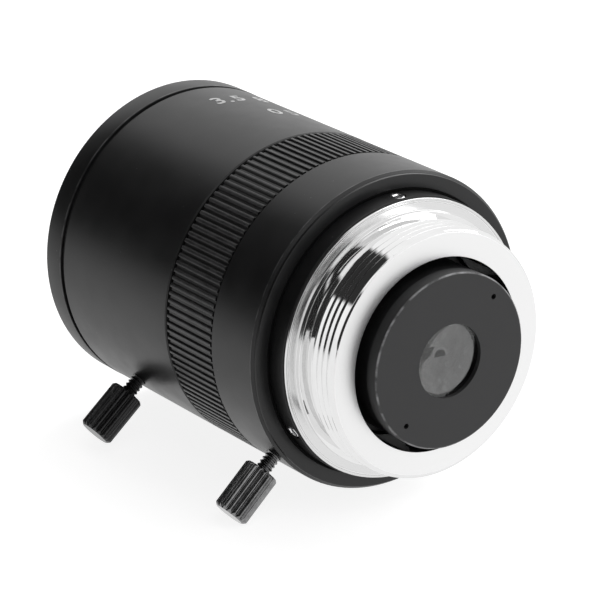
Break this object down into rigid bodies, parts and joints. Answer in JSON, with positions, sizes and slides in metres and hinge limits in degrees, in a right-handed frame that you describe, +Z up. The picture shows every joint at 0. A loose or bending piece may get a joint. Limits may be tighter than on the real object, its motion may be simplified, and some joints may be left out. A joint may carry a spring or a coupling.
{
  "type": "cctv camera lens",
  "caption": "Manual varifocal security camera lens: chromed CS mount, zoom, iris and focus rings, thumb screws to lock zoom and focus, sliding glass groups and a bladed iris",
  "frame": {"origin": "centre of the mount flange seat, on the optical axis", "axes": "+Y is the optical axis towards the front glass, the mount is at -Y, +Z is up; the lens lies on its barrel and the tips of the two thumb screws, which point down and to -X"},
  "size_m": [0.0353, 0.047, 0.0336],
  "materials": {
    "black_anodised": "black anodised, satin, fine grain",
    "black_matt": "black anodised, matt",
    "chrome": "mirror chromed brass",
    "steel": "bright steel",
    "black_steel": "blackened steel",
    "knob_grey": "dark nickel, satin",
    "brass": "turned",
    "coated_glass": "polished, coated"
  },
  "bodies": {
    "barrel": {"base_barrel": "black_anodised", "mount_ring": "chrome", "mount_set_screws": "steel", "iris_base_plate": "black_anodised", "iris_cover_ring": "black_matt", "focus_retainer_ring": "black_matt"},
    "zoom_turn": {"zoom_ring": "black_anodised"},
    "zoom_lock": {"zoom_lock_screw": "knob_grey"},
    "rear_group": {"rear_cell": "black_anodised", "rear_cap": "black_matt", "rear_spacer_front": "black_matt", "rear_spacer_back": "black_matt", "zoom_drive_pins": "brass", "rear_lens_front": "coated_glass", "rear_doublet_front": "coated_glass", "rear_doublet_back": "coated_glass", "rear_lens_last": "coated_glass"},
    "iris_turn": {"iris_ring": "black_anodised", "iris_drive_ring": "black_anodised", "iris_lever_pin": "brass"},
    "focus_turn": {"focus_ring": "black_anodised", "front_bezel": "black_anodised"},
    "focus_lock": {"focus_lock_screw": "black_steel"},
    "front_group": {"front_cell": "black_anodised", "front_lens": "coated_glass", "front_lens_ring": "black_matt", "middle_lens": "coated_glass", "front_spacer": "black_matt", "inner_lens": "coated_glass", "inner_lock_ring": "black_matt", "focus_drive_pins": "brass"},
    "blade_1": {"iris_blade_1": "black_steel"},
    "blade_2": {"iris_blade_2": "black_steel"},
    "blade_3": {"iris_blade_3": "black_steel"},
    "blade_4": {"iris_blade_4": "black_steel"},
    "blade_5": {"iris_blade_5": "black_steel"},
    "blade_6": {"iris_blade_6": "black_steel"}
  },
  "joints": [
    {"name": "zoom_ring_turn", "type": "hinge", "parent": "barrel", "child": "zoom_turn", "pos_m": [0, 0.006, 0], "axis": [0, 1, 0], "range_deg": [0, 70]},
    {"name": "zoom_group_slide", "type": "slide", "parent": "barrel", "child": "rear_group", "axis": [0, 1, 0], "range_m": [0, 0.0038]},
    {"name": "iris_ring_turn", "type": "hinge", "parent": "barrel", "child": "iris_turn", "pos_m": [0, 0.0135, 0], "axis": [0, 1, 0], "range_deg": [0, 42]},
    {"name": "focus_ring_turn", "type": "hinge", "parent": "barrel", "child": "focus_turn", "pos_m": [0, 0.027, 0], "axis": [0, 1, 0], "range_deg": [0, 80]},
    {"name": "focus_group_slide", "type": "slide", "parent": "barrel", "child": "front_group", "axis": [0, 1, 0], "range_m": [0, 0.0018]},
    {"name": "zoom_lock_turn", "type": "hinge", "parent": "zoom_turn", "child": "zoom_lock", "pos_m": [-0.01463, 0.00525, -0.01364], "axis": [-0.7314, 0, -0.682], "range_deg": [0, 360]},
    {"name": "focus_lock_turn", "type": "hinge", "parent": "focus_turn", "child": "focus_lock", "pos_m": [-0.01521, 0.0285, -0.01299], "axis": [-0.7604, 0, -0.6494], "range_deg": [0, 360]},
    {"name": "blade_1_swing", "type": "hinge", "parent": "barrel", "child": "blade_1", "pos_m": [0, 0.0115, 0.0106], "axis": [0, 1, 0], "range_deg": [0, 28]},
    {"name": "blade_2_swing", "type": "hinge", "parent": "barrel", "child": "blade_2", "pos_m": [0.00918, 0.0115, 0.0053], "axis": [0, 1, 0], "range_deg": [0, 28]},
    {"name": "blade_3_swing", "type": "hinge", "parent": "barrel", "child": "blade_3", "pos_m": [0.00918, 0.0115, -0.0053], "axis": [0, 1, 0], "range_deg": [0, 28]},
    {"name": "blade_4_swing", "type": "hinge", "parent": "barrel", "child": "blade_4", "pos_m": [0, 0.0115, -0.0106], "axis": [0, 1, 0], "range_deg": [0, 28]},
    {"name": "blade_5_swing", "type": "hinge", "parent": "barrel", "child": "blade_5", "pos_m": [-0.00918, 0.0115, -0.0053], "axis": [0, 1, 0], "range_deg": [0, 28]},
    {"name": "blade_6_swing", "type": "hinge", "parent": "barrel", "child": "blade_6", "pos_m": [-0.00918, 0.0115, 0.0053], "axis": [0, 1, 0], "range_deg": [0, 28]}
  ],
  "couplings": [
    {"joint": "zoom_group_slide", "follows": "zoom_ring_turn", "m_per_rad": 0.0031103},
    {"joint": "focus_group_slide", "follows": "focus_ring_turn", "m_per_rad": 0.0012892},
    {"joint": "blade_1_swing", "follows": "iris_ring_turn", "ratio": 0.66667},
    {"joint": "blade_2_swing", "follows": "iris_ring_turn", "ratio": 0.66667},
    {"joint": "blade_3_swing", "follows": "iris_ring_turn", "ratio": 0.66667},
    {"joint": "blade_4_swing", "follows": "iris_ring_turn", "ratio": 0.66667},
    {"joint": "blade_5_swing", "follows": "iris_ring_turn", "ratio": 0.66667},
    {"joint": "blade_6_swing", "follows": "iris_ring_turn", "ratio": 0.66667}
  ]
}
